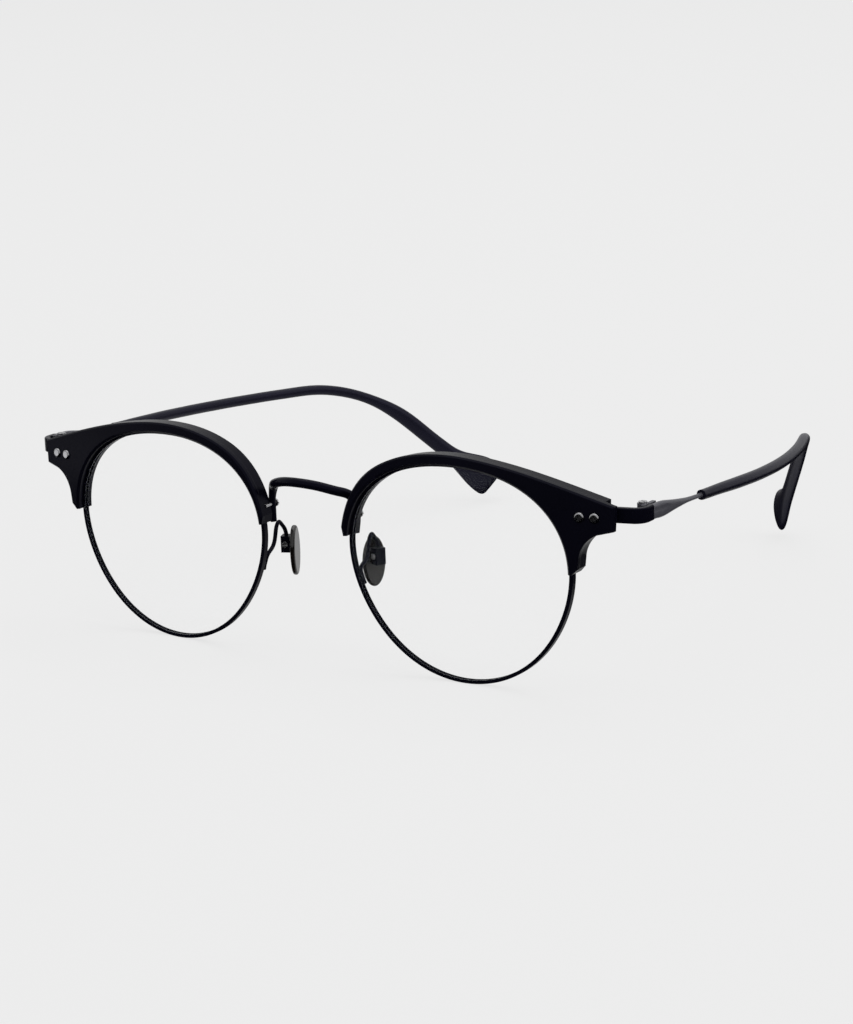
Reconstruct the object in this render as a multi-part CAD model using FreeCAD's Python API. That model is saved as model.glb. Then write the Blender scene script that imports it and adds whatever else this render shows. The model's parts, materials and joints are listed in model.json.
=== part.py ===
import FreeCAD, Part
import math
import os

# Browline glasses, in millimetres. +X is the wearer's left, -Y is the front, +Z is up.
# Every piece of one side is made at +X and mirrored, and the whole stands on z = 0.

# Lens outline: a box with a rounded, slightly pear-shaped curve in it
lens_width = 48.5
lens_height = 43.2
lens_gap = 21.6
lens_pear = 0.036
lens_square = 0.006
lens_lean = 0.009

# Front curve: both eyes lie on balls, turned outwards and tilted
base_radius = 200.0
wrap_angle = 3.0
tilt_angle = 1.6

# Rim and lens
rim_width = 0.75
rim_depth = 1.1
lens_tongue = 0.3
tongue_depth = 0.5
lens_thickness = 1.5
fit_gap = 0.03

# Rim lock: the rim is split behind the brow and closed by two blocks and a screw
split_gap = 0.12
lock_split_drop = 3.1
lock_bite = 1.6
lock_width = 3.2
lock_wall = 0.5
lock_depth = 0.9
lock_height = 1.7
lock_screw_radius = 0.28
lock_head_radius = 0.4
lock_head_margin = 0.1
lock_head_room = 0.2
small_head_height = 0.4

# Brow piece: a front layer and a slightly smaller back layer
brow_forward = 2.4
brow_front_layer = 1.2
brow_depth = 3.9
brow_rise = 2.4
brow_nasal_width = 1.6
brow_nasal_angle = 164.0
brow_nasal_taper = 34.0
brow_tip_angle = 167.8
brow_tip_width = 1.0
brow_step = 0.25
brow_edge = 0.3
brow_lip_bevel = 0.5
brow_lip_set = 0.5
wing_reach = 9.6
wing_top = 16.5
wing_crown = 0.75
wing_start_angle = 78.0
wing_end_height = 4.8
wing_end_lean = 0.25
wing_lower_run = 3.2
wing_lower_fall = 0.8
wing_back_inset = 2.6
wing_skin = 2.3
leg_width = 2.45
leg_waist_drop = 4.7
leg_curve = 0.78
leg_corner_height = 3.9
leg_taper = 0.3
leg_end_height = 2.85
leg_end_width = 1.0

# Endpiece and temple strip
strip_height = 3.0
strip_thickness = 1.2
strip_rise = 14.4
strip_edge = 0.25
plate_length = 8.2
temple_side = 3.8
bend_lead = 2.0
endpiece_straight = 1.65
seam_gap = 0.08

# Rivets through the brow and the endpiece
rivet_spacing = 2.9
rivet_inset = 3.8
rivet_rise = -0.15
rivet_head_radius = 1.0
rivet_head_height = 0.4
rivet_radius = 0.5
rivet_tail_gap = 0.09

# Barrel hinge
barrel_radius = 1.1
barrel_gap = 0.1
knuckle_height = 0.75
middle_height = 1.3
washer_thickness = 0.12
washer_gap = 0.03
hinge_screw_radius = 0.5
hinge_running_gap = 0.05
hinge_head_radius = 0.85
hinge_head_height = 0.3
knuckle_room = 0.08
leaf_end_gap = 0.1
temple_leaf_length = 2.9
leaf_thickness = 0.8
slot_width = 0.25
slot_depth = 0.2

# Temple course: lengths along it, inward turn and downward pitch in degrees
straight_length = 35.1
inward_length = 44.5
bend_length = 31.7
tail_length = 25.6
inward_turn = 20.7
tail_turn = 38.5
start_pitch = 3.3
ear_pitch = 1.9
tail_pitch = 42.5

# Temple strip, wire and sleeve
strip_run = 4.5
strip_squareness = 5.0
taper_run = 10.5
wire_lead = 1.2
wire_radius = 0.45
sleeve_start = 19.5
sleeve_front_radius = 1.0
sleeve_radius = 1.15
tail_half_height = 1.75
tail_half_thickness = 1.3
paddle_half_height = 4.3
paddle_length = 15.0
paddle_belly = -0.45
paddle_corner = 2.2
sleeve_squareness = 2.2
sleeve_swell = 16.0
core_end_cover = 6.0

# Bridge
bridge_radius = 0.95
bridge_leg_radius = 0.75
bridge_foot_radius = 0.65
bridge_forward = 2.8
bridge_rise = 15.4
shoulder_rise = 12.6
shoulder_inset = 0.9
shoulder_forward = 0.5
bridge_leg_top = 10.3
bridge_leg_low = 7.4
bridge_leg_inset = 0.9
bridge_leg_lean = 0.1
bridge_seat_gap = 0.1
foot_rise = 5.2
foot_inset = 0.8
brow_screw_radius = 0.4
brow_screw_head = 0.8
brow_screw_bite = 1.6

# Nose pad, its box and its arm
pad_height = 10.4
pad_width = 5.2
pad_thickness = 1.0
pad_edge = 0.4
pad_splay = 22.0
pad_x = 9.7
pad_back = 8.6
pad_drop = 2.2
pad_pivot_rise = 1.4
pad_box_width = 2.2
pad_box_height = 3.4
pad_box_depth = 1.8
pad_box_gap = 0.35
ear_width = 1.0
ear_radius = 0.6
ear_gap = 0.1
ear_swing_gap = 0.3
core_height = 6.0
core_width = 3.0
core_thickness = 0.25
pad_screw_radius = 0.35
pad_screw_head = 0.6
pad_running_gap = 0.05
arm_radius = 0.42
arm_root_drop = 4.6
arm_knee_drop = 3.2
arm_turn_drop = 1.8
arm_knee_lift = 0.06
arm_turn_lift = 0.3
arm_rise = 4.1

# How finely curves are drawn, and how far a cut runs past what it cuts
outline_points = 40
section_points = 16
brow_spans = 8
wire_spans = 18
sleeve_spans = 22
course_steps = 400
cut_margin = 1.0
closeness = 0.001

# Values worked out from the sizes above
V = FreeCAD.Vector
UP = V(0, 0, 1)
slot_facing = V(0.3, 0.5, 0.8)
rim_inner = -lens_tongue
rim_outer = rim_width - lens_tongue
eye_x = (lens_gap + lens_width) / 2
eye_z = lens_height / 2 + rim_outer
wrap = math.radians(wrap_angle)
tilt = math.radians(tilt_angle)
ball_centre = V(eye_x - base_radius * math.sin(wrap),
                base_radius * math.cos(wrap) * math.cos(tilt),
                eye_z + base_radius * math.sin(tilt))
temporal_x = eye_x + lens_width / 2
wing_x = temporal_x + wing_reach
strip_z = eye_z + strip_rise
temple_x = wing_x + temple_side
strip_inner_x = temple_x - strip_thickness / 2
hinge_x = strip_inner_x - barrel_gap - barrel_radius
brow_back = brow_forward - brow_depth
front_leaf_length = endpiece_straight - leaf_end_gap
brow_screw_length = 2 * (bridge_leg_radius + bridge_seat_gap) + brow_screw_bite


def unit_point(angle):
    """Point of the lens outline before it is fitted to its box."""
    grow = 1 + lens_pear * math.sin(3 * angle)
    grow -= lens_square * math.cos(4 * angle) + lens_lean * math.sin(2 * angle)
    return grow * math.cos(angle), grow * math.sin(angle)


unit_outline = [unit_point(math.radians(step)) for step in range(360)]
unit_low = [min(point[axis] for point in unit_outline) for axis in (0, 1)]
unit_high = [max(point[axis] for point in unit_outline) for axis in (0, 1)]


def boxed_point(angle):
    """Point of the lens outline, as x and z, fitted to the lens box."""
    x, z = unit_point(angle)
    across = (x - unit_low[0]) / (unit_high[0] - unit_low[0]) - 0.5
    upward = (z - unit_low[1]) / (unit_high[1] - unit_low[1]) - 0.5
    return eye_x + across * lens_width, eye_z + upward * lens_height


def eye_point(degrees, out):
    """Point at a distance outside the lens edge, square to it, with y = 0."""
    angle = math.radians(degrees)
    small = 1e-4
    x, z = boxed_point(angle)
    x0, z0 = boxed_point(angle - small)
    x1, z1 = boxed_point(angle + small)
    length = math.hypot(x1 - x0, z1 - z0)
    return V(x + out * (z1 - z0) / length, 0, z - out * (x1 - x0) / length)


def front_y(x, z, forward):
    """Depth of the front curve at a place of the front view."""
    radius = base_radius + forward
    return ball_centre.y - math.sqrt(radius ** 2 - (x - ball_centre.x) ** 2 - (z - ball_centre.z) ** 2)


def on_front(point, forward):
    """The same place of the front view, on the front curve."""
    return V(point.x, front_y(point.x, point.z, forward), point.z)


def front_normal(point):
    """Direction straight out of the front curve at a point."""
    return (point - ball_centre).normalize()


def smooth_loop(points):
    curve = Part.BSplineCurve()
    curve.interpolate(Points=points, PeriodicFlag=True)
    return Part.Wire([curve.toShape()])


def eye_prism(out):
    """Bar with the lens outline, moved outwards, running from front to back."""
    points = [eye_point(360 * step / outline_points, out) for step in range(outline_points)]
    return bar(smooth_loop(points))


def bar(wire):
    """Solid with a front-view outline that passes through the whole front."""
    reach = base_radius / 4
    face = Part.Face(wire)
    face.translate(V(0, -reach, 0))
    return face.extrude(V(0, 2 * reach, 0))


def layer(shape, front, back):
    """What lies between two depths of the front curve."""
    outer = Part.makeSphere(base_radius + front, ball_centre)
    inner = Part.makeSphere(base_radius + back, ball_centre)
    return shape.common(outer).cut(inner)


def box(low, high):
    size = high - low
    return Part.makeBox(size.x, size.y, size.z, low)


def rod(start, axis, radius, length):
    return Part.makeCylinder(radius, length, start, axis)


def frame_box(origin, axes, low, high):
    """Box given in a turned frame of three axes."""
    matrix = FreeCAD.Matrix(axes[0].x, axes[1].x, axes[2].x, origin.x,
                            axes[0].y, axes[1].y, axes[2].y, origin.y,
                            axes[0].z, axes[1].z, axes[2].z, origin.z,
                            0, 0, 0, 1)
    block = box(V(*low), V(*high))
    block.Placement = FreeCAD.Placement(matrix)
    return block


def one_solid(shape):
    """The single solid that a cut or a join leaves."""
    solids = shape.removeSplitter().Solids
    if len(solids) != 1:
        raise ValueError("expected one solid, found %d" % len(solids))
    return solids[0]


def screw(start, axis, radius, length, head_radius, head_height):
    """Shank from start along the axis, with a slotted round head behind the start."""
    head = rod(start - axis * head_height, axis, head_radius, head_height)
    across = axis.cross(slot_facing).normalize()
    beside = axis.cross(across)
    low = (-head_radius - cut_margin, -slot_width / 2, -slot_depth)
    high = (head_radius + cut_margin, slot_width / 2, slot_depth)
    slot = frame_box(start - axis * head_height, (across, beside, axis), low, high)
    return one_solid(head.cut(slot).fuse(rod(start, axis, radius, length)))


# Rim, lens and rim lock
split_z = strip_z - lock_split_drop
lock_inner_x = temporal_x - lock_bite
lock_outer_x = lock_inner_x + lock_width
lock_top_z = strip_z - strip_height / 2 - fit_gap
lock_front_y = front_y(temporal_x + rim_outer, lock_top_z, -rim_depth / 2) + fit_gap
lock_back_y = lock_front_y + lock_depth
lock_axis_x = lock_outer_x - lock_head_radius - lock_head_margin
lock_axis_y = (lock_front_y + lock_back_y) / 2


def make_rim():
    ring = eye_prism(rim_outer).cut(eye_prism(rim_inner))
    ring = layer(ring, rim_depth / 2, -rim_depth / 2)
    groove_half = tongue_depth / 2 + fit_gap
    ring = ring.cut(layer(eye_prism(fit_gap), groove_half, -groove_half))
    low = V(eye_x + lens_width / 4, -base_radius / 4, split_z - split_gap / 2)
    high = V(temporal_x + lens_width / 4, base_radius / 4, split_z + split_gap / 2)
    return one_solid(ring.cut(box(low, high)))


def make_lens():
    glass = layer(eye_prism(rim_inner - fit_gap), lens_thickness / 2, -lens_thickness / 2)
    tongue = layer(eye_prism(0), tongue_depth / 2, -tongue_depth / 2)
    return one_solid(glass.fuse(tongue))


def lock_block(low_z, high_z):
    block = box(V(lock_inner_x, lock_front_y, low_z), V(lock_outer_x, lock_back_y, high_z))
    hole_start = V(lock_axis_x, lock_axis_y, low_z - cut_margin)
    hole = rod(hole_start, UP, lock_screw_radius + fit_gap, high_z - low_z + 2 * cut_margin)
    return block.cut(hole).cut(eye_prism(rim_inner + lock_wall + fit_gap))


lock_bottom_z = split_z - split_gap / 2 - lock_height


def make_lock_upper():
    return one_solid(lock_block(split_z + split_gap / 2, lock_top_z))


def make_lock_lower():
    return one_solid(lock_block(lock_bottom_z, split_z - split_gap / 2))


def make_lock_screw():
    start = V(lock_axis_x, lock_axis_y, lock_bottom_z - fit_gap)
    length = lock_top_z - lock_bottom_z - 2 * fit_gap
    return screw(start, UP, lock_screw_radius, length, lock_head_radius, small_head_height)


# Endpiece: a plate that follows the brow's curve, a bend and a straight run to the hinge seam
plate_drop = strip_z - ball_centre.z
plate_outer = math.sqrt((base_radius + brow_forward - wing_skin) ** 2 - plate_drop ** 2)
plate_start_x = wing_x - plate_length


def plate_point(x, inward):
    """Point in plan on the plate's curve, at a distance behind its front face."""
    radius = plate_outer - inward
    return V(x, ball_centre.y - math.sqrt(radius ** 2 - (x - ball_centre.x) ** 2), 0)


bend_start = plate_point(wing_x + bend_lead, strip_thickness / 2)
bend_slope = math.asin((bend_start.x - ball_centre.x) / (plate_outer - strip_thickness / 2))
bend_radius = (temple_x - bend_start.x) / (1 - math.sin(bend_slope))
bend_centre = bend_start + V(-math.sin(bend_slope), math.cos(bend_slope), 0) * bend_radius
seam_y = bend_centre.y + endpiece_straight


def plan_arc(centre, radius, start_angle, end_angle):
    """Arc in plan, with angles counted from the +X direction."""
    places = []
    for angle in (start_angle, (start_angle + end_angle) / 2, end_angle):
        places.append(centre + V(math.cos(angle), math.sin(angle), 0) * radius)
    return Part.Arc(*places).toShape()


def endpiece_wire():
    """Closed outline of the endpiece in plan."""
    half = strip_thickness / 2
    plan_centre = V(ball_centre.x, ball_centre.y, 0)
    edges = []
    for inward, bend in ((0, bend_radius + half), (strip_thickness, bend_radius - half)):
        radius = plate_outer - inward
        first = math.acos((plate_start_x - ball_centre.x) / radius)
        edges.append(plan_arc(plan_centre, radius, -first, bend_slope - math.pi / 2))
        edges.append(plan_arc(bend_centre, bend, bend_slope - math.pi / 2, 0))
        start = bend_centre + V(bend, 0, 0)
        edges.append(Part.LineSegment(start, V(start.x, seam_y - seam_gap / 2, 0)).toShape())
    outer_end = V(bend_centre.x + bend_radius + half, seam_y - seam_gap / 2, 0)
    inner_end = V(bend_centre.x + bend_radius - half, seam_y - seam_gap / 2, 0)
    edges.append(Part.LineSegment(outer_end, inner_end).toShape())
    corners = [edges[0].Vertexes, edges[3].Vertexes]
    inner_x = [min(pair, key=lambda vertex: vertex.X).Point for pair in corners]
    edges.append(Part.LineSegment(inner_x[0], inner_x[1]).toShape())
    return Part.Wire(Part.__sortEdges__(edges))


def make_endpiece():
    face = Part.Face(endpiece_wire())
    face.translate(V(0, 0, strip_z - strip_height / 2))
    solid = face.extrude(V(0, 0, strip_height))
    long_edges = []
    for edge in solid.Edges:
        flat = abs(edge.Vertexes[0].Z - edge.Vertexes[-1].Z) < closeness
        if flat and edge.Length > strip_thickness * 1.5:
            long_edges.append(edge)
    solid = solid.makeFillet(strip_edge, long_edges)
    for place in rivet_places():
        axis = front_normal(place)
        solid = solid.cut(rod(place - axis * brow_depth, axis, rivet_radius + fit_gap, 2 * brow_depth))
    return one_solid(solid)


def rivet_places():
    """Where the rivets' axes meet the brow's front."""
    xs = (wing_x - rivet_inset, wing_x - rivet_inset - rivet_spacing)
    return [on_front(V(x, 0, strip_z + rivet_rise), brow_forward) for x in xs]


def make_rivets():
    """Two pins with domed heads in front and small heads behind the endpiece."""
    pins = []
    shank = wing_skin + strip_thickness + rivet_tail_gap
    for place in rivet_places():
        axis = front_normal(place)
        head = rod(place, axis, rivet_head_radius, rivet_head_height)
        rim_edges = [edge for edge in head.Edges if len(edge.Vertexes) == 1]
        rim_edges.sort(key=lambda edge: edge.CenterOfMass.distanceToPoint(place))
        head = head.makeFillet(rivet_head_height * 0.85, rim_edges[-1:])
        pin = rod(place - axis * shank, axis, rivet_radius, shank)
        tail = rod(place - axis * (shank + rivet_head_height / 2), axis, rivet_radius * 1.4,
                   rivet_head_height / 2)
        pins.append(one_solid(head.fuse(pin).fuse(tail)))
    return Part.makeCompound(pins)


# Brow piece
def brow_width(degrees, inset):
    """Distance from the lens edge to the brow's outer edge, narrowing to the nasal end."""
    into = (brow_nasal_angle - degrees) / brow_nasal_taper
    share = min(max(into, 0), 1)
    share = share * share * (3 - 2 * share)
    return brow_nasal_width + (brow_rise - brow_nasal_width) * share - inset


def brow_outline(inset):
    """Closed front-view outline of the brow, whose lower side crosses the lens."""
    corner = V(wing_x, 0, eye_z + wing_top - inset)
    end_low = V(wing_x - wing_end_lean, 0, eye_z + wing_top - wing_end_height + inset)
    lower = end_low + V(-wing_lower_run, 0, -wing_lower_fall)
    waist = V(temporal_x + leg_width - inset, 0, lower.z - leg_waist_drop)
    leg_corner = V(waist.x - leg_taper, 0, eye_z + leg_corner_height)
    leg_end = V(temporal_x + leg_end_width, 0, eye_z + leg_end_height)
    leg_inside = V(temporal_x - brow_rise, 0, leg_end.z)
    nasal_inside = eye_point(brow_tip_angle, -brow_rise)
    nasal_tip = eye_point(brow_tip_angle, brow_tip_width)
    top = []
    for step in range(brow_spans + 1):
        degrees = brow_nasal_angle + (wing_start_angle - brow_nasal_angle) * step / brow_spans
        top.append(eye_point(degrees, brow_width(degrees, inset)))
    top.append((top[-1] + corner) * 0.5 + V(0, 0, wing_crown))
    top.append(corner)
    top_curve = Part.BSplineCurve()
    top_curve.interpolate(Points=top)
    chord = (waist - lower).normalize()
    outward = V(chord.z, 0, -chord.x)
    middle = (lower + waist) * 0.5 + outward * leg_curve
    edges = [top_curve.toShape(), Part.Arc(lower, middle, waist).toShape()]
    runs = ((corner, end_low), (end_low, lower), (waist, leg_corner),
            (leg_corner, leg_end), (leg_end, leg_inside), (leg_inside, nasal_inside),
            (nasal_inside, nasal_tip), (nasal_tip, top[0]))
    for start, end in runs:
        edges.append(Part.LineSegment(start, end).toShape())
    return Part.Wire(Part.__sortEdges__(edges))


def edges_on_ball(shape, forward):
    """Edges that lie on one depth of the front curve."""
    found = []
    for edge in shape.Edges:
        reach = [point.distanceToPoint(ball_centre) - base_radius for point in edge.discretize(5)]
        if max(abs(depth - forward) for depth in reach) < closeness:
            found.append(edge)
    return found


def bevelled(shape, opening):
    """Brow with bevels on its front, narrow outside and wide round the lens."""
    outer = []
    for edge in edges_on_ball(shape, brow_forward):
        if opening.distToShape(edge)[0] > fit_gap:
            outer.append(edge)
    shape = shape.makeChamfer(brow_edge, outer)
    lip = []
    for edge in edges_on_ball(shape, brow_forward):
        middle = Part.Vertex(edge.discretize(3)[1])
        if opening.distToShape(middle)[0] < fit_gap:
            lip.append(edge)
    return shape.makeChamfer(brow_lip_bevel, lip)


def brow_pocket():
    """Room behind the brow's skin for the endpiece's plate and for the rim lock."""
    radius = plate_outer + fit_gap
    ring = rod(V(ball_centre.x, ball_centre.y, strip_z - strip_height / 2 - fit_gap), UP, radius,
               strip_height + 2 * fit_gap)
    low = V(plate_start_x - fit_gap, -base_radius / 4, strip_z - strip_height)
    plate_room = ring.common(box(low, V(wing_x * 2, base_radius / 4, strip_z + strip_height)))
    lock_floor = lock_bottom_z - small_head_height - lock_head_room
    lock_low = V(lock_inner_x - fit_gap, lock_front_y - fit_gap, lock_floor)
    lock_high = V(lock_outer_x + fit_gap, base_radius / 4, lock_top_z + fit_gap)
    return plate_room.fuse(box(lock_low, lock_high).cut(eye_prism(rim_inner + lock_wall)))


def make_brow():
    step_forward = brow_forward - brow_front_layer
    front_opening = eye_prism(rim_inner + brow_lip_set)
    front = layer(bar(brow_outline(0)).cut(front_opening), brow_forward, step_forward)
    front = bevelled(front, front_opening)
    back = layer(bar(brow_outline(brow_step)), step_forward, brow_back)
    back = back.cut(layer(front_opening, step_forward, 0))
    back = back.cut(layer(eye_prism(rim_inner + fit_gap), 0, brow_back))
    cut_low = V(wing_x - wing_back_inset, -base_radius / 4, eye_z)
    cut_high = V(wing_x * 2, base_radius / 4, eye_z + lens_height)
    back = back.cut(box(cut_low, cut_high))
    brow = front.fuse(back)
    channel_half = rim_depth / 2 + fit_gap
    brow = brow.cut(layer(eye_prism(rim_outer + fit_gap), channel_half, -channel_half))
    brow = brow.cut(brow_pocket())
    for place in rivet_places():
        axis = front_normal(place)
        brow = brow.cut(rod(place - axis * brow_depth, axis, rivet_radius + fit_gap, 2 * brow_depth))
    hole_start, axis = brow_screw_line()
    hole_length = brow_screw_length + fit_gap
    brow = brow.cut(rod(hole_start, axis, brow_screw_radius + fit_gap, hole_length))
    return one_solid(brow)


# Bridge: a round bar that arches between the brows, with a leg down the back of each
def section(centre, across, upward, half_width, half_height, power=2.0):
    """Closed curve round a centre, an ellipse or a rounder box with a higher power."""
    points = []
    for step in range(section_points):
        angle = 2 * math.pi * step / section_points
        c, s = math.cos(angle), math.sin(angle)
        size = (abs(c) ** power + abs(s) ** power) ** (-1 / power)
        points.append(centre + across * (half_width * size * c) + upward * (half_height * size * s))
    return smooth_loop(points)


def wire_loft(course, radii, reference):
    """Round bar along a smooth course, with a radius at each of its points."""
    curve = Part.BSplineCurve()
    curve.interpolate(Points=course)
    params = [curve.parameter(point) for point in course]
    stations = []
    for index in range(len(course) - 1):
        for share in (0, 0.5):
            param = params[index] + (params[index + 1] - params[index]) * share
            radius = radii[index] + (radii[index + 1] - radii[index]) * share
            stations.append((param, radius))
    stations.append((params[-1], radii[-1]))
    rings = []
    for param, radius in stations:
        along = V(*curve.tangent(param)[0])
        across = reference.cross(along).normalize()
        rings.append(section(curve.value(param), across, along.cross(across), radius, radius))
    return Part.makeLoft(rings, True)


def nasal_x(z):
    """Where the lens edge lies at the nasal side, at a height."""
    points = [eye_point(degrees, 0) for degrees in range(100, 240)]
    return min(points, key=lambda point: abs(point.z - z)).x


bridge_leg_top_z = eye_z + bridge_leg_top
bridge_leg_low_z = eye_z + bridge_leg_low
bridge_leg_x = nasal_x(bridge_leg_low_z) - bridge_leg_inset
bridge_leg_y = front_y(bridge_leg_x, bridge_leg_low_z, brow_back) + bridge_leg_radius + bridge_seat_gap
foot_z = eye_z + foot_rise
foot_x = nasal_x(foot_z) - foot_inset
foot_y = front_y(foot_x, foot_z, brow_back) + bridge_foot_radius + bridge_seat_gap
arch_shares = ((0.5, 0.22, 0.2), (0.83, 0.64, 0.6))


def make_bridge():
    apex = V(0, -bridge_forward, eye_z + bridge_rise)
    shoulder = V(bridge_leg_x - shoulder_inset, bridge_leg_y - shoulder_forward, eye_z + shoulder_rise)
    fall = shoulder - apex
    half = [apex + V(fall.x * across, fall.y * back, fall.z * down) for across, back, down in arch_shares]
    half.append(shoulder)
    radii = [bridge_radius] * len(half) + [bridge_leg_radius, bridge_leg_radius, bridge_foot_radius]
    half.append(V(bridge_leg_x - bridge_leg_lean, bridge_leg_y, bridge_leg_top_z))
    half.append(V(bridge_leg_x, bridge_leg_y, bridge_leg_low_z))
    half.append(V(foot_x, foot_y, foot_z))
    course = [V(-point.x, point.y, point.z) for point in reversed(half)] + [apex] + half
    bridge = wire_loft(course, list(reversed(radii)) + [bridge_radius] + radii, V(0, 1, 0))
    start, axis = brow_screw_line()
    hole_length = 2 * bridge_leg_radius + 2 * cut_margin
    hole = rod(start - axis * cut_margin, axis, brow_screw_radius + fit_gap, hole_length)
    return one_solid(bridge.cut(hole).cut(mirrored(hole)))


def brow_screw_line():
    """Where the brow screw's head seats on the back of the bridge's leg, and its direction."""
    z = (bridge_leg_top_z + bridge_leg_low_z) / 2
    return V(bridge_leg_x, bridge_leg_y + bridge_leg_radius + bridge_seat_gap, z), V(0, -1, 0)


def make_brow_screw():
    start, axis = brow_screw_line()
    return screw(start, axis, brow_screw_radius, brow_screw_length, brow_screw_head, small_head_height)


# Temple course
def course_angles(along):
    """Inward turn and downward pitch, in radians, at a length along the temple."""
    marks = [0, straight_length, straight_length + inward_length,
             straight_length + inward_length + bend_length]
    turns = [0, 0, inward_turn, tail_turn]
    pitches = [start_pitch, start_pitch, ear_pitch, tail_pitch]
    turn, pitch = turns[-1], pitches[-1]
    for index in range(3):
        if marks[index] <= along < marks[index + 1]:
            share = (along - marks[index]) / (marks[index + 1] - marks[index])
            turn = turns[index] + (turns[index + 1] - turns[index]) * share
            pitch = pitches[index] + (pitches[index + 1] - pitches[index]) * share
    return math.radians(turn), math.radians(pitch)


def course_direction(along):
    turn, pitch = course_angles(along)
    return V(-math.sin(turn) * math.cos(pitch), math.cos(turn) * math.cos(pitch), -math.sin(pitch))


temple_length = straight_length + inward_length + bend_length + tail_length
course = [V(temple_x, seam_y, strip_z)]
for course_step in range(course_steps):
    middle_along = temple_length * (course_step + 0.5) / course_steps
    course.append(course[-1] + course_direction(middle_along) * (temple_length / course_steps))


def course_point(along):
    place = along / temple_length * course_steps
    index = min(int(place), course_steps - 1)
    return course[index] + (course[index + 1] - course[index]) * (place - index)


def course_frame(along):
    """Place on the temple's course with its inward and upward directions."""
    direction = course_direction(along)
    across = direction.cross(UP).normalize()
    return course_point(along), across, across.cross(direction)


def course_loft(stations):
    """Loft through sections: length along, half width, half height, drop and power of each."""
    rings = []
    for along, half_width, half_height, drop, power in stations:
        centre, across, upward = course_frame(along)
        rings.append(section(centre - upward * drop, across, upward, half_width, half_height, power))
    return Part.makeLoft(rings, True)


core_end = temple_length - core_end_cover
wire_start = strip_run + taper_run + wire_lead
taper_shape = ((0.3, 0.72, 0.95, 3.6), (0.6, 0.5, 0.88, 2.8), (0.9, 0.34, 0.79, 2.1))


def wire_stations(radius):
    """Stations of the plain wire, from the end of the taper to the end of the core."""
    stations = []
    for step in range(wire_spans + 1):
        along = wire_start + (core_end - wire_start) * step / wire_spans
        stations.append((along, radius, radius, 0, 2.0))
    return stations


def make_temple():
    """Flat strip that tapers to the wire inside the sleeve."""
    half_thick, half_tall = strip_thickness / 2, strip_height / 2
    stations = [(strip_run * share, half_thick, half_tall, 0, strip_squareness) for share in (0, 0.5, 0.85)]
    for share, tall, thick, power in taper_shape:
        stations.append((strip_run + taper_run * share, half_thick * thick, half_tall * tall, 0, power))
    temple = course_loft(stations + wire_stations(wire_radius))
    low = V(temple_x - strip_height, seam_y - strip_height, strip_z - strip_height)
    high = V(temple_x + strip_height, seam_y + seam_gap / 2, strip_z + strip_height)
    return one_solid(temple.cut(box(low, high)))


def eased(along, marks):
    """Value at a length along, eased from each mark of length and value to the next."""
    value = marks[0][1]
    for (start, low), (end, high) in zip(marks, marks[1:]):
        share = min(max((along - start) / (end - start), 0), 1)
        value += (high - low) * share * share * (3 - 2 * share)
    return value


paddle_end_shape = ((0.4, 0.985, 0.97), (0.7, 0.94, 0.9), (0.9, 0.87, 0.76), (1, 0.79, 0.6))


def sleeve_stations():
    """Slim round front, taller tail, then the flared paddle with its rounded end."""
    bend_end = temple_length - tail_length
    flare_start = temple_length - paddle_length
    flare_end = temple_length - paddle_corner
    bend_middle = bend_end - bend_length * 0.5
    tall_marks = [(sleeve_start, sleeve_front_radius), (sleeve_start + sleeve_swell, sleeve_radius),
                  (bend_middle, sleeve_radius), (bend_end, tail_half_height),
                  (flare_start, tail_half_height), (flare_end, paddle_half_height)]
    thick_marks = tall_marks[:3] + [(bend_end, tail_half_thickness), (flare_end, tail_half_thickness)]
    stations = []
    for step in range(sleeve_spans + 1):
        along = sleeve_start + (flare_end - sleeve_start) * step / sleeve_spans
        tall = eased(along, tall_marks)
        drop = max(tall - tail_half_height, 0) * paddle_belly
        stations.append((along, eased(along, thick_marks), tall, drop, sleeve_squareness))
    drop = (paddle_half_height - tail_half_height) * paddle_belly
    for share, tall, thick in paddle_end_shape:
        along = flare_end + paddle_corner * share
        half_width, half_height = tail_half_thickness * thick, paddle_half_height * tall
        stations.append((along, half_width, half_height, drop, sleeve_squareness))
    return stations


def make_sleeve():
    sleeve = course_loft(sleeve_stations())
    bore = course_loft(wire_stations(wire_radius + fit_gap))
    return one_solid(sleeve.cut(bore))


# Barrel hinge
stack_half = middle_height / 2 + washer_thickness + 2 * washer_gap
hinge_top_z = strip_z + stack_half + knuckle_height
hinge_bottom_z = strip_z - stack_half - knuckle_height
hinge_base = V(hinge_x, seam_y, 0)


def barrel(low_z, high_z, radius):
    return rod(hinge_base + UP * low_z, UP, radius, high_z - low_z)


def leaf(toward, length):
    """Plate on the strip's inner face, in front of the seam or behind it."""
    low_z, high_z = strip_z - strip_height / 2, strip_z + strip_height / 2
    outer_x = strip_inner_x - fit_gap
    near, far = sorted((seam_y + toward * seam_gap / 2, seam_y + toward * length))
    return box(V(outer_x - leaf_thickness, near, low_z), V(outer_x, far, high_z))


def knuckle(toward, low_z, high_z):
    """Barrel with its root joined to the leaf."""
    near, far = sorted((seam_y, seam_y + toward * barrel_radius))
    root = box(V(hinge_x, near, low_z), V(strip_inner_x - fit_gap, far, high_z))
    return barrel(low_z, high_z, barrel_radius).fuse(root)


def make_hinge_front():
    plate = leaf(-1, front_leaf_length)
    plate = plate.cut(barrel(strip_z - stack_half, strip_z + stack_half, barrel_radius + knuckle_room))
    upper = knuckle(-1, strip_z + stack_half, hinge_top_z)
    lower = knuckle(-1, hinge_bottom_z, strip_z - stack_half)
    hole_low, hole_high = hinge_bottom_z - cut_margin, hinge_top_z + cut_margin
    hole = barrel(hole_low, hole_high, hinge_screw_radius + fit_gap)
    return one_solid(plate.fuse(upper).fuse(lower).cut(hole))


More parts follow.
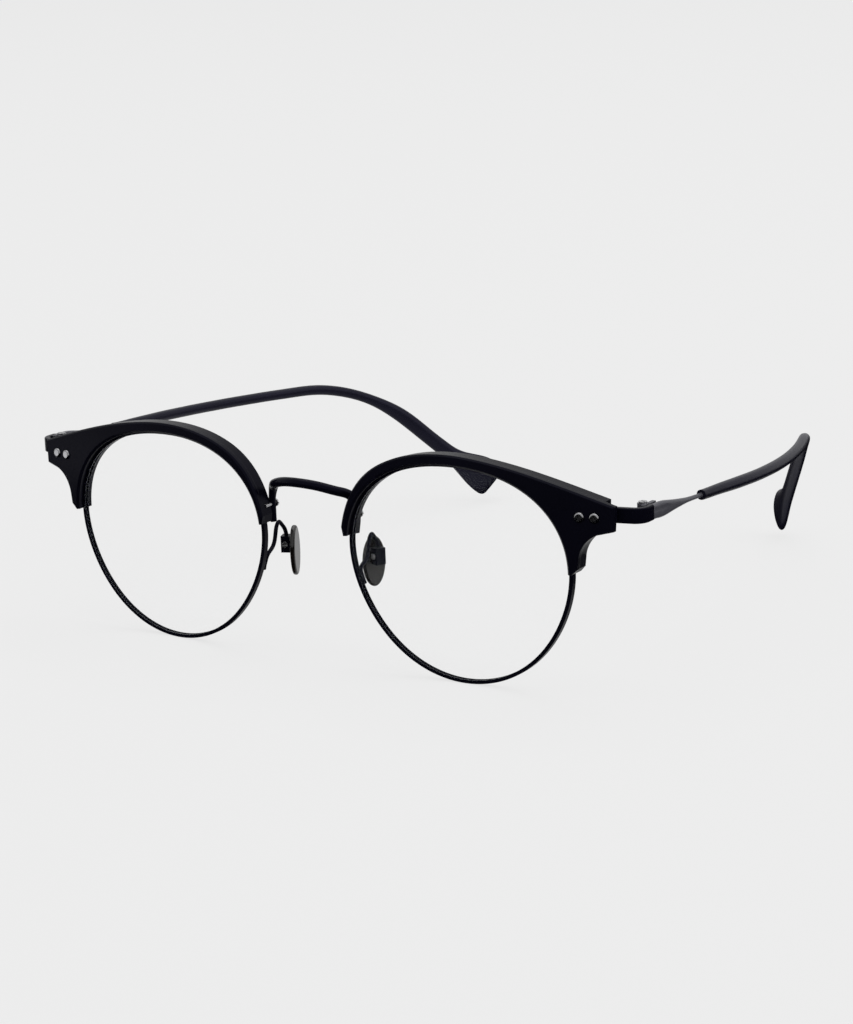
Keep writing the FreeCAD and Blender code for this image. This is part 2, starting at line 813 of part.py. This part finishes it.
def make_hinge_temple():
    middle_low, middle_high = strip_z - middle_height / 2, strip_z + middle_height / 2
    plate = leaf(1, temple_leaf_length)
    plate = plate.cut(barrel(middle_high, hinge_top_z, barrel_radius + knuckle_room))
    plate = plate.cut(barrel(hinge_bottom_z, middle_low, barrel_radius + knuckle_room))
    middle = knuckle(1, middle_low, middle_high)
    hole = barrel(hinge_bottom_z, hinge_top_z, hinge_screw_radius + hinge_running_gap)
    return one_solid(plate.fuse(middle).cut(hole))


def make_washers():
    rings = []
    upper_low = strip_z + middle_height / 2 + washer_gap
    lower_low = strip_z - middle_height / 2 - washer_gap - washer_thickness
    for low_z in (upper_low, lower_low):
        ring = barrel(low_z, low_z + washer_thickness, barrel_radius)
        hole = barrel(low_z - cut_margin, low_z + cut_margin, hinge_screw_radius + hinge_running_gap)
        rings.append(ring.cut(hole))
    return Part.makeCompound(rings)


def make_hinge_screw():
    start = hinge_base + UP * (hinge_top_z + fit_gap)
    length = hinge_top_z - hinge_bottom_z
    return screw(start, UP * -1, hinge_screw_radius, length, hinge_head_radius, hinge_head_height)


# Nose pad: its width runs back and outwards, its outer face looks forwards and outwards
splay = math.radians(pad_splay)
pad_across = V(math.sin(splay), math.cos(splay), 0)
pad_out = V(math.cos(splay), -math.sin(splay), 0)
pad_axes = (pad_out, pad_across, UP)
pad_centre = V(pad_x, pad_back, eye_z - pad_drop)
box_face = pad_thickness / 2 + pad_box_gap
pivot = pad_centre + pad_out * (box_face + pad_box_depth / 2) + UP * pad_pivot_rise


def pad_pin(radius):
    """Rod along the pad screw's line, right through the box."""
    return rod(pivot - pad_across * pad_box_width, pad_across, radius, 2 * pad_box_width)


def make_pad_core():
    """Plate inside the pad with the round-ended ear that stands out of it."""
    plate_low = (0, -core_width / 2, -core_height / 2)
    plate_high = (core_thickness, core_width / 2, core_height / 2)
    plate = frame_box(pad_centre + UP * (pad_pivot_rise / 2), pad_axes, plate_low, plate_high)
    neck_low = (0, -ear_width / 2, -ear_radius)
    neck_high = (box_face + pad_box_depth / 2, ear_width / 2, ear_radius)
    neck = frame_box(pad_centre + UP * pad_pivot_rise, pad_axes, neck_low, neck_high)
    end = rod(pivot - pad_across * (ear_width / 2), pad_across, ear_radius, ear_width)
    hole = pad_pin(pad_screw_radius + pad_running_gap)
    return one_solid(plate.fuse(neck).fuse(end).cut(hole))


def make_nose_pad():
    """Oval pad with rounded edges, moulded round its core."""
    oval = Part.Ellipse(V(0, 0, 0), pad_height / 2, pad_width / 2).toShape()
    blank = Part.Face(Part.Wire([oval])).extrude(V(0, 0, pad_thickness))
    blank = blank.makeFillet(pad_edge, [edge for edge in blank.Edges if edge.isClosed()])
    blank.translate(V(0, 0, -pad_thickness / 2))
    matrix = FreeCAD.Matrix(0, -pad_across.x, pad_out.x, pad_centre.x,
                            0, -pad_across.y, pad_out.y, pad_centre.y,
                            1, 0, 0, pad_centre.z,
                            0, 0, 0, 1)
    blank.Placement = FreeCAD.Placement(matrix).multiply(blank.Placement)
    return one_solid(blank.cut(make_pad_core()))


def make_pad_box():
    """Box that is open towards the pad, with room for the ear to rock."""
    half_w, half_h, half_d = pad_box_width / 2, pad_box_height / 2, pad_box_depth / 2
    shell = frame_box(pivot, pad_axes, (-half_d, -half_w, -half_h), (half_d, half_w, half_h))
    room_w, room_h = ear_width / 2 + ear_gap, ear_radius + ear_swing_gap
    room_low = (-pad_box_depth, -room_w, -room_h)
    room = frame_box(pivot, pad_axes, room_low, (ear_radius + ear_gap, room_w, room_h))
    return one_solid(shell.cut(room).cut(pad_pin(pad_screw_radius + fit_gap)))


def make_pad_screw():
    start = pivot - pad_across * (pad_box_width / 2 + fit_gap)
    return screw(start, pad_across, pad_screw_radius, pad_box_width, pad_screw_head, small_head_height)


arm_shares = ((0, 0.3, 0.23), (0.3, 0.46, 0.6), (0.6, 0.63, 1), (0.9, 0.9, 0.77))


def arm_point(drop, lift):
    """Place of the arm's axis behind the rim, at a height below the eye's middle."""
    z = eye_z - drop
    x = nasal_x(z) - (rim_inner + rim_outer) / 2
    return V(x, front_y(x, z, -rim_depth / 2) + arm_radius + fit_gap + lift, z)


def make_pad_arm():
    """Bent wire from the back of the rim, up and over to the top of the pad box."""
    turn = arm_point(arm_turn_drop, arm_turn_lift)
    end = pivot + UP * (pad_box_height / 2 - arm_radius)
    rise = eye_z + arm_rise - turn.z
    course_points = [arm_point(arm_root_drop, 0), arm_point(arm_knee_drop, arm_knee_lift), turn]
    for across, back, upward in arm_shares:
        step = V((end.x - turn.x) * across, (end.y - turn.y) * back, rise * upward)
        course_points.append(turn + step)
    course_points.append(end)
    arm = wire_loft(course_points, [arm_radius] * len(course_points), V(1, 0, 0))
    half = pad_box_height / 2 + fit_gap
    room = frame_box(pivot, pad_axes, (-half, -half, -half), (half, half, half))
    return one_solid(arm.cut(room))


def mirrored(shape):
    return shape.mirror(V(0, 0, 0), V(1, 0, 0))


# All pieces, the ones of a side made once and mirrored
makers = {"rim": make_rim, "lens": make_lens, "brow": make_brow, "brow_rivets": make_rivets,
          "brow_screw": make_brow_screw, "endpiece": make_endpiece, "rim_lock_upper": make_lock_upper,
          "rim_lock_lower": make_lock_lower, "rim_lock_screw": make_lock_screw,
          "hinge_front": make_hinge_front, "hinge_temple": make_hinge_temple,
          "hinge_washers": make_washers, "hinge_screw": make_hinge_screw, "temple": make_temple,
          "temple_sleeve": make_sleeve, "nose_pad": make_nose_pad, "pad_core": make_pad_core,
          "pad_box": make_pad_box, "pad_screw": make_pad_screw, "pad_arm": make_pad_arm}

shapes = {"bridge": make_bridge()}
for name, make in makers.items():
    shape = make()
    shapes[name + "_left"] = shape
    shapes[name + "_right"] = mirrored(shape)

# The whole is moved so that it stands on z = 0 with its box centred on the origin
whole = Part.makeCompound(list(shapes.values())).optimalBoundingBox(False, False)
shift = V(0, -(whole.YMin + whole.YMax) / 2, -whole.ZMin)
os.makedirs("parts", exist_ok=True)
for name, shape in shapes.items():
    shape.translate(shift)
    shape.exportStep("parts/" + name + ".step")
    if not shape.isValid():
        print("not valid:", name)

print("size %.2f x %.2f x %.2f" % (whole.XLength, whole.YLength, whole.ZLength))
print("shift", [round(value, 4) for value in shift])
print("hinge axis", [round(value, 4) for value in hinge_base + shift])
print("pad pivot", [round(value, 4) for value in pivot + shift])
print("pad axis", [round(value, 5) for value in pad_across])
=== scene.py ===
# %% [markdown]
# # Browline glasses
#
# This lesson dresses a finished CAD model of a pair of browline glasses. The CAD
# nodes already have their true shapes, so they stay as they are and get finishes.
# The small drops of solder that a drawing leaves out are modelled here.
# Everything is in metres: +X is the wearer's left, -Y is the front and +Z is up.

# %% Load the frame
import json
import math

import bmesh
import bpy
from mathutils import Matrix, Vector


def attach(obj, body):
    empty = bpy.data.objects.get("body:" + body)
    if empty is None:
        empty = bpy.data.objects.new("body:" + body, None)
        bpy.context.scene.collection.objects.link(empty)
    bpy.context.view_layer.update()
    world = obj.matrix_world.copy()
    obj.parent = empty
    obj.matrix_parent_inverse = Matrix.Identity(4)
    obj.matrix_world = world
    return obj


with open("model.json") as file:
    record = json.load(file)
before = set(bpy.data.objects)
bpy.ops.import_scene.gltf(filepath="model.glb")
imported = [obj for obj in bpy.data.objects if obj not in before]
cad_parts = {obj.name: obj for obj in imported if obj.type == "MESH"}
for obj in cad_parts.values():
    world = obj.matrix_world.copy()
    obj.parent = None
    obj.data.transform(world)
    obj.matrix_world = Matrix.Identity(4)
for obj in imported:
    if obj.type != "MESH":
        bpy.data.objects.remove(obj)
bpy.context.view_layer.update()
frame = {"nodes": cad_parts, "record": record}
nodes = frame["nodes"]
MM = 0.001

# %% [markdown]
# ## Camera
#
# The picture is taken from the wearer's left, a little above the glasses, with a
# long lens, which keeps both eyes nearly the same size. The place could be found by
# trial, but here it is worked out: three angles give the camera's own axes, and the
# aim says where the middle of the glasses lies along those axes.

# %% Camera
VIEW_TURN = math.radians(34.0124)
VIEW_DROP = math.radians(14.2090)
VIEW_ROLL = math.radians(-2.2386)
VIEW_AIM = Vector((-24.2719, 1.8761, 587.5271)) * MM
VIEW_ORIGIN = Vector((0, -64.2824, 32.9751)) * MM
LENS_PIXELS = 2974.11
PICTURE_HEIGHT = 1024
SENSOR = 36.0
CLIP_START = 0.01


def camera_axes():
    """Right, up and forward directions of the camera."""
    ct, st = math.cos(VIEW_TURN), math.sin(VIEW_TURN)
    cd, sd = math.cos(VIEW_DROP), math.sin(VIEW_DROP)
    level = Vector((ct, st, 0))
    forward = Vector((-st * cd, ct * cd, -sd))
    upright = Vector((-st * sd, ct * sd, cd))
    cr, sr = math.cos(VIEW_ROLL), math.sin(VIEW_ROLL)
    return level * cr + upright * sr, upright * cr - level * sr, forward


right, up, forward = camera_axes()
eye = VIEW_ORIGIN - right * VIEW_AIM.x - up * VIEW_AIM.y - forward * VIEW_AIM.z
camera_data = bpy.data.cameras.new("camera")
camera_data.sensor_fit = "VERTICAL"
camera_data.sensor_height = SENSOR
camera_data.lens = LENS_PIXELS * SENSOR / PICTURE_HEIGHT
camera_data.clip_start = CLIP_START
camera = bpy.data.objects.new("camera", camera_data)
camera.matrix_world = Matrix((
    (right.x, up.x, -forward.x, eye.x),
    (right.y, up.y, -forward.y, eye.y),
    (right.z, up.z, -forward.z, eye.z),
    (0, 0, 0, 1)))
bpy.context.scene.collection.objects.link(camera)
bpy.context.scene.camera = camera
print("camera stands", round((eye - VIEW_ORIGIN).length, 3), "m away")

# %% [markdown]
# ## Arithmetic on sockets
#
# A finish is a sum of small patterns. Placing every Math node by hand hides the
# sum, so one class wraps a socket and lets Python's own operators add the nodes.
# Any other node comes from its `node` method: kind, settings, then sockets.


# %% Wire: a socket that can be calculated with
class Wire:
    """A socket in a node tree. Arithmetic on it adds Math nodes."""

    def __init__(self, tree, socket=None):
        self.tree = tree
        self.socket = socket

    def node(self, kind, settings=None, sockets=None, output=0):
        """Add a node: its settings first, then values or links of its sockets."""
        made = self.tree.nodes.new(kind)
        for name, value in (settings or {}).items():
            setattr(made, name, value)
        for name, value in (sockets or {}).items():
            if isinstance(value, Wire):
                self.tree.links.new(value.socket, made.inputs[name])
            else:
                made.inputs[name].default_value = value
        return Wire(self.tree, made.outputs[output] if made.outputs else None)

    def maths(self, operation, first, second):
        return self.node("ShaderNodeMath", {"operation": operation}, {0: first, 1: second})

    def __add__(self, other):
        return self.maths("ADD", self, other)

    def __sub__(self, other):
        return self.maths("SUBTRACT", self, other)

    def __rsub__(self, other):
        return self.maths("SUBTRACT", other, self)

    def __mul__(self, other):
        return self.maths("MULTIPLY", self, other)

    __radd__ = __add__
    __rmul__ = __mul__


def blend_colours(wire, share, first, second):
    """Mix two colours by a share."""
    settings = {"data_type": "RGBA"}
    return wire.node("ShaderNodeMix", settings, {0: share, 6: first, 7: second}, 2)


def new_finish(name):
    """A material with an empty tree, and the wire that starts in it."""
    material = bpy.data.materials.new(name)
    material.use_nodes = True
    material.node_tree.nodes.clear()
    return material, Wire(material.node_tree)


def close_finish(wire, surface):
    """End a finish in one shader made from these sockets."""
    shader = wire.node("ShaderNodeBsdfPrincipled", None, surface)
    wire.node("ShaderNodeOutputMaterial", None, {"Surface": shader})


print("sockets can be added, subtracted and multiplied")

# %% [markdown]
# ## Floor
#
# The glasses stand on a seamless pale sheet. What the camera sees of it is mostly
# an even grey, so that no lamp leaves a patch, and partly a lit surface, so that the
# shadow stays. Black glossy pieces show what is around them, so mirror and see-through
# rays get the same grey.

# %% Floor
PALE = (0.831, 0.831, 0.831, 1)
EVEN_SHARE = 0.87
FLOOR_REACH = 6.0


def seen_directly(wire):
    """1 for camera, mirror and see-through rays, 0 for the light they gather."""
    path = wire.node("ShaderNodeLightPath")
    outputs = path.socket.node.outputs
    names = ("Is Camera Ray", "Is Glossy Ray", "Is Transmission Ray")
    first, second, third = (Wire(wire.tree, outputs[name]) for name in names)
    return wire.maths("MAXIMUM", wire.maths("MAXIMUM", first, second), third)


def paint_floor():
    material, wire = new_finish("pale_sheet")
    lit = wire.node("ShaderNodeBsdfDiffuse", None, {"Color": PALE})
    even = wire.node("ShaderNodeEmission", None, {"Color": PALE, "Strength": 1.0})
    share = seen_directly(wire) * EVEN_SHARE
    mixed = wire.node("ShaderNodeMixShader", None, {0: share, 1: lit, 2: even})
    wire.node("ShaderNodeOutputMaterial", None, {"Surface": mixed})
    return material


def lay_sheet(name, low, high, height, material):
    """A flat sheet on the floor, which isn't part of the glasses."""
    mesh = bpy.data.meshes.new(name)
    corners = [(low[0], low[1]), (high[0], low[1]), (high[0], high[1]), (low[0], high[1])]
    mesh.from_pydata([(x, y, height) for x, y in corners], [], [(0, 1, 2, 3)])
    mesh.materials.append(material)
    sheet = bpy.data.objects.new(name, mesh)
    bpy.context.scene.collection.objects.link(sheet)
    return sheet


lay_sheet("floor", (-FLOOR_REACH, -FLOOR_REACH), (FLOOR_REACH, FLOOR_REACH), 0, paint_floor())
print("floor of", 2 * FLOOR_REACH, "m")

# %% [markdown]
# ## Cards for the reflections
#
# Photographers of black things lay black card just out of the picture, on the side
# of the camera. The fronts of the brows then mirror the card and turn deep black,
# while their tops still mirror the pale room. One card lies in front, one beside the
# near temple and one behind, and the floor under the glasses stays pale for the nose
# pads. A small white card glows where the far rivets mirror it. Here only mirror rays
# meet the cards.


# %% Cards
BLACK = (0.002, 0.002, 0.003, 1)
WHITE = (0.8, 0.8, 0.8, 1)
CARD_LIFT = 0.0002
WHITE_LIFT = 0.0004
WHITE_GLOW = 0.9
FIBRE_SCALE = 300.0


def paint_card(name, colour, glow):
    material, wire = new_finish(name)
    fibre = wire.node("ShaderNodeTexNoise", None, {"Scale": FIBRE_SCALE}, "Fac")
    close_finish(wire, {"Base Color": colour, "Roughness": 0.8 + fibre * 0.2,
                        "Specular IOR Level": 0.0,
                        "Emission Color": colour, "Emission Strength": glow})
    return material


def lay_card(name, low, high, height, colour, glow=0.0):
    """A card that only mirror rays meet."""
    card = lay_sheet(name, low, high, height, paint_card(name, colour, glow))
    card.visible_camera = False
    card.visible_diffuse = False
    card.visible_transmission = False
    card.visible_shadow = False
    print(name, "of", round(high[0] - low[0], 2), "by", round(high[1] - low[1], 2), "m")


lay_card("front_card", (-0.6, -1.0), (0.9, -0.055), CARD_LIFT, BLACK)
lay_card("side_card", (0.08, -0.055), (0.9, 0.2), CARD_LIFT, BLACK)
lay_card("back_card", (-0.05, 0.06), (0.08, 0.6), CARD_LIFT, BLACK)
lay_card("white_card", (-0.32, -0.26), (-0.17, -0.13), WHITE_LIFT, WHITE, WHITE_GLOW)

# %% [markdown]
# ## Light
#
# One broad lamp hangs overhead and a small one stands at the wearer's left, as for a
# catalogue picture. Together with the world they light a white sheet to about white,
# so each colour looks as it is written.


# %% Light
ROOM_STRENGTH = 0.75


def light_world(strength):
    world = bpy.data.worlds.new("studio")
    world.use_nodes = True
    world.node_tree.nodes.clear()
    wire = Wire(world.node_tree)
    level = strength + seen_directly(wire) * (1 - strength)
    glow = wire.node("ShaderNodeBackground", None, {"Color": PALE, "Strength": level})
    wire.node("ShaderNodeOutputWorld", None, {"Surface": glow})
    bpy.context.scene.world = world


def add_lamp(name, place, aim, width, height, watts):
    data = bpy.data.lights.new(name, "AREA")
    data.shape = "RECTANGLE"
    data.size = width
    data.size_y = height
    data.energy = watts
    lamp = bpy.data.objects.new(name, data)
    lamp.location = place
    lamp.rotation_euler = (Vector(aim) - Vector(place)).to_track_quat("-Z", "Y").to_euler()
    bpy.context.scene.collection.objects.link(lamp)


light_world(ROOM_STRENGTH)
add_lamp("lamp_above", (0, 0.3, 2.2), (0, 0, 0), 2.4, 2.4, 30.0)
add_lamp("lamp_left", (1.0, 0.3, 0.7), (0, 0, 0.02), 0.5, 0.9, 2.0)
bpy.context.scene.view_settings.view_transform = "Standard"

# %% [markdown]
# ## Patterns that the finishes share
#
# Every finish below is made of three things: a soft cloud of colour, a fine grain
# that roughens the gloss, and a share that is high along sharp edges. The edge share
# compares the true normal with one that the Bevel node has rounded. A real edge is
# never quite sharp: it is polished by handling and catches the light. Along the edges
# the share also paints a lighter colour, partly wear and partly a painted highlight.


# %% Patterns
CLOUD_SCALE = 90.0
CLOUD_DETAIL = 3.0
GRAIN_DETAIL = 2.0
BEVEL_SAMPLES = 6
EDGE_GAIN = 4.0
EDGE_POLISH = 0.06


def noise(wire, scale, detail, stretch=None):
    """Even noise over the piece, with grains of 1 / scale metres."""
    place = wire.node("ShaderNodeTexCoord", None, None, "Object")
    if stretch:
        settings = {"operation": "MULTIPLY"}
        place = wire.node("ShaderNodeVectorMath", settings, {0: place, 1: stretch})
    sockets = {"Vector": place, "Scale": scale, "Detail": detail}
    return wire.node("ShaderNodeTexNoise", None, sockets, "Fac")


def rounded_edges(wire, radius):
    """A normal with rounded edges, and a share that is 1 on those edges."""
    rounded = wire.node("ShaderNodeBevel", {"samples": BEVEL_SAMPLES}, {"Radius": radius})
    flat = wire.node("ShaderNodeNewGeometry", None, None, "Normal")
    settings = {"operation": "DOT_PRODUCT"}
    alike = wire.node("ShaderNodeVectorMath", settings, {0: rounded, 1: flat}, "Value")
    settings = {"operation": "MULTIPLY", "use_clamp": True}
    return rounded, wire.node("ShaderNodeMath", settings, {0: 1 - alike, 1: EDGE_GAIN})


def bumped(wire, height, distance, normal):
    """A normal that follows a fine height."""
    sockets = {"Height": height, "Distance": distance, "Normal": normal}
    return wire.node("ShaderNodeBump", None, sockets)


def wear_and_highlight_finish(name, dark, light, wear_and_highlight, rough, grain, depth, fixed, edge, stretch=None):
    """A finish with cloudy colour, grained gloss, polished edges, and a lighter edge colour that is
    partly wear and partly a painted highlight.
    """
    material, wire = new_finish(name)
    cloud = noise(wire, CLOUD_SCALE, CLOUD_DETAIL)
    fine = noise(wire, grain, GRAIN_DETAIL, stretch)
    rounded, edges = rounded_edges(wire, edge)
    clouded = blend_colours(wire, cloud, dark, light)
    # Base Color: along edges, blend towards the lighter edge colour, partly wear and partly a
    # painted highlight.
    surface = {"Base Color": blend_colours(wire, edges * (0.4 + fine * 0.5), clouded, wear_and_highlight),
               "Roughness": rough[0] + fine * (rough[1] - rough[0]) - edges * EDGE_POLISH,
               "Normal": bumped(wire, fine, depth, rounded)}
    surface.update(fixed)
    close_finish(wire, surface)
    return material


finishes = {}
print("patterns ready")

# %% [markdown]
# ## Brows and sleeves
#
# Both are cut from black cellulose acetate and tumbled in drums of wood chips until
# they shine softly. The sheet is never one flat black: there is a faint blue cloud in
# it, and tumbling leaves a haze of very fine marks. A low specular level keeps the
# broad faces deep black.

# %% Acetate
# The third colour is the lighter edge colour: partly wear, partly a painted highlight.
finishes["brow_plastic"] = wear_and_highlight_finish(
    "brow_acetate", (0.0012, 0.0012, 0.0028, 1), (0.0026, 0.0024, 0.0062, 1),
    (0.01, 0.01, 0.02, 1), (0.24, 0.36), 2500.0, 2e-6,
    {"Specular IOR Level": 0.06, "Specular Tint": (0.72, 0.72, 1.0, 1)}, edge=0.15 * MM)
finishes["sleeve_plastic"] = wear_and_highlight_finish(
    "sleeve_acetate", (0.003, 0.003, 0.007, 1), (0.006, 0.0054, 0.0135, 1),
    (0.014, 0.014, 0.026, 1), (0.3, 0.44), 2500.0, 3e-6,
    {"Specular IOR Level": 0.15, "Specular Tint": (0.74, 0.73, 1.0, 1)}, edge=0.15 * MM)
print("acetate for brows and sleeves")

# %% [markdown]
# ## Rims, bridge, corners and pad arms
#
# These are metal, sprayed with black lacquer and baked. Lacquer levels out but keeps
# a slight orange-peel bump. Its edges are painted a lighter line, partly wear where
# they rub and partly a painted highlight.

# %% Lacquer
finishes["frame_metal"] = wear_and_highlight_finish(
    "black_lacquer", (0.0012, 0.0012, 0.003, 1), (0.0026, 0.0024, 0.0066, 1),
    (0.026, 0.026, 0.042, 1), (0.22, 0.34), 1800.0, 2e-6,
    {"Specular IOR Level": 0.06, "Specular Tint": (0.7, 0.68, 1.0, 1)}, edge=0.08 * MM)
slots = [subpart["material_slot"] for subpart in frame["record"]["subparts"]]
print("lacquer for", slots.count("frame_metal"), "nodes")

# %% [markdown]
# ## Temple strips and hinges
#
# The strips behind the hinge are plated dark grey and brushed along their length. The
# brushing is noise that is stretched along Y, so that its grains turn into lines.

# %% Strips
finishes["strip_metal"] = wear_and_highlight_finish(
    "brushed_strip", (0.052, 0.052, 0.064, 1), (0.076, 0.075, 0.09, 1),
    (0.19, 0.19, 0.21, 1), (0.3, 0.48), 1.0, 3e-6,
    {"Metallic": 0.25, "Specular IOR Level": 0.4}, edge=0.08 * MM,
    stretch=(4000.0, 140.0, 6500.0))
print("brushed strips")

# %% [markdown]
# ## Rivets, screws and washers
#
# Rivet heads are polished steel, which mirrors the room. The screws are turned from
# plain steel and stay duller. The washers that let the hinge turn softly are white
# nylon, which is slightly cloudy.

# %% Small metal and nylon
finishes["rivet_metal"] = wear_and_highlight_finish(
    "polished_rivet", (0.27, 0.27, 0.28, 1), (0.33, 0.33, 0.34, 1), (0.42, 0.42, 0.43, 1),
    (0.1, 0.22), 3000.0, 1e-6, {"Metallic": 1.0}, edge=0.06 * MM)
finishes["screw_metal"] = wear_and_highlight_finish(
    "turned_steel", (0.34, 0.34, 0.35, 1), (0.46, 0.46, 0.47, 1), (0.62, 0.62, 0.63, 1),
    (0.2, 0.36), 5000.0, 2e-6, {"Metallic": 1.0}, edge=0.05 * MM)
finishes["washer_plastic"] = wear_and_highlight_finish(
    "white_nylon", (0.58, 0.58, 0.55, 1), (0.7, 0.7, 0.67, 1), (0.78, 0.78, 0.75, 1),
    (0.42, 0.58), 2000.0, 1e-6, {"Specular IOR Level": 0.4}, edge=0.03 * MM)
print("rivets, screws and washers")

# %% [markdown]
# ## Nose pads
#
# The pads are moulded round their metal core in a glossy dark plastic. Where the pad
# thins towards its rounded rim a little light passes, so the edge colour is a warm
# brown. The wide Bevel radius makes that fringe as broad as the rounding.

# %% Nose pads
finishes["pad_plastic"] = wear_and_highlight_finish(
    "pad_plastic", (0.003, 0.0024, 0.0022, 1), (0.006, 0.0044, 0.004, 1),
    (0.03, 0.018, 0.013, 1), (0.06, 0.13), 1500.0, 1e-6, {"Specular IOR Level": 0.5}, edge=0.4 * MM)
print("nose pads")

# %% [markdown]
# ## Lenses
#
# A coated lens returns hardly any light, so a clear glass shader would look too heavy
# here. A thin see-through surface is enough: nearly no cover in the middle, and a
# little more at a slant, where even a good coating shows. That slant cover lets the
# pale base colour through as a painted sheen, beside the surface's real gloss.


# %% Lenses
LENS_COVER = 0.006
SLANT_COVER = 0.05
SMEAR_SCALE = 60.0


def lens_finish():
    material, wire = new_finish("coated_lens")
    facing = wire.node("ShaderNodeLayerWeight", None, {"Blend": 0.5}, "Facing")
    slant = facing * facing * facing * facing
    smear = noise(wire, SMEAR_SCALE, CLOUD_DETAIL)
    # The pale base colour, shown more at a slant, is a painted sheen.
    surface = {"Base Color": (0.82, 0.9, 0.92, 1),
               "Roughness": 0.01 + smear * 0.03,
               "Alpha": LENS_COVER + slant * SLANT_COVER}
    close_finish(wire, surface)
    return material


finishes["lens_glass"] = lens_finish()
print(len(finishes), "finishes")

# %% [markdown]
# ## Put the finishes on
#
# The record says which slot every CAD node takes its finish from, so one loop dresses
# the whole pair.

# %% Dress the nodes
for subpart in frame["record"]["subparts"]:
    piece = nodes[subpart["node"]]
    finish = finishes[subpart["material_slot"]]
    if not piece.material_slots:
        piece.data.materials.append(finish)
    for place in piece.material_slots:
        place.material = finish

# %% [markdown]
# ## Solder
#
# The pad arms are soldered to the back of the rims. Molten solder creeps up the wire
# and freezes as a smooth drop: it hugs the wire at its top, swells towards the joint
# and closes in a dome. A lathe makes that shape: one profile, turned round the wire's
# own end. The wire's end is found in its mesh, because that stays true when the CAD
# model changes.

# %% Solder drops
DROP_PROFILE = ((1.3, 1.0), (0.8, 1.06), (0.35, 1.13), (0.0, 1.17),
                (-0.25, 1.06), (-0.45, 0.76), (-0.56, 0.38))
DROP_SIDES = 20
DROP_UNEVEN = 0.025
ARM_RADIUS = 0.42 * MM
END_SLICE = 0.3 * MM
AXIS_SLICE = (0.9 * MM, 1.5 * MM)


def wire_end(node, side):
    """Lowest end of a wire on one side of the glasses, and the direction up the wire."""
    points = [vertex.co for vertex in nodes[node].data.vertices if vertex.co.x * side > 0]
    floor_z = min(point.z for point in points)

    def middle(low, high):
        inside = [point for point in points if low <= point.z - floor_z <= high]
        if not inside:
            return None
        lows = [min(point[axis] for point in inside) for axis in range(3)]
        highs = [max(point[axis] for point in inside) for axis in range(3)]
        return (Vector(lows) + Vector(highs)) / 2

    end = middle(0, END_SLICE)
    higher = middle(*AXIS_SLICE)
    direction = (higher - end).normalized() if higher else Vector((0, 0, 1))
    return end, direction


def solder_drop(name, node, side, radius):
    """A drop of solder round the end of a wire."""
    end, axis = wire_end(node, side)
    turn = axis.to_track_quat("Z", "X").to_matrix()
    shape = bmesh.new()
    rings = []
    for height, width in DROP_PROFILE:
        ring = []
        for step in range(DROP_SIDES):
            angle = 2 * math.pi * step / DROP_SIDES
            reach = width * (1 + DROP_UNEVEN * math.sin(2 * angle + side + height))
            local = Vector((math.cos(angle) * reach, math.sin(angle) * reach, height))
            ring.append(shape.verts.new(end + turn @ (local * radius)))
        rings.append(ring)
    for upper, lower in zip(rings, rings[1:]):
        for step in range(DROP_SIDES):
            after = (step + 1) % DROP_SIDES
            shape.faces.new((upper[step], lower[step], lower[after], upper[after]))
    shape.faces.new(rings[0])
    shape.faces.new(list(reversed(rings[-1])))
    bmesh.ops.recalc_face_normals(shape, faces=shape.faces)
    mesh = bpy.data.meshes.new(name)
    shape.to_mesh(mesh)
    shape.free()
    mesh.shade_smooth()
    mesh.materials.append(finishes["frame_metal"])
    drop = bpy.data.objects.new(name, mesh)
    bpy.context.scene.collection.objects.link(drop)
    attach(drop, "front")
    return drop


drops = []
for side_name, side in (("left", 1), ("right", -1)):
    drop_name, arm_name = "arm_solder_" + side_name, "pad_arm_" + side_name
    drops.append(solder_drop(drop_name, arm_name, side, ARM_RADIUS))
for drop in drops:
    centre = sum((vertex.co for vertex in drop.data.vertices), Vector()) / len(drop.data.vertices)
    print(drop.name, [round(value / MM, 2) for value in centre])
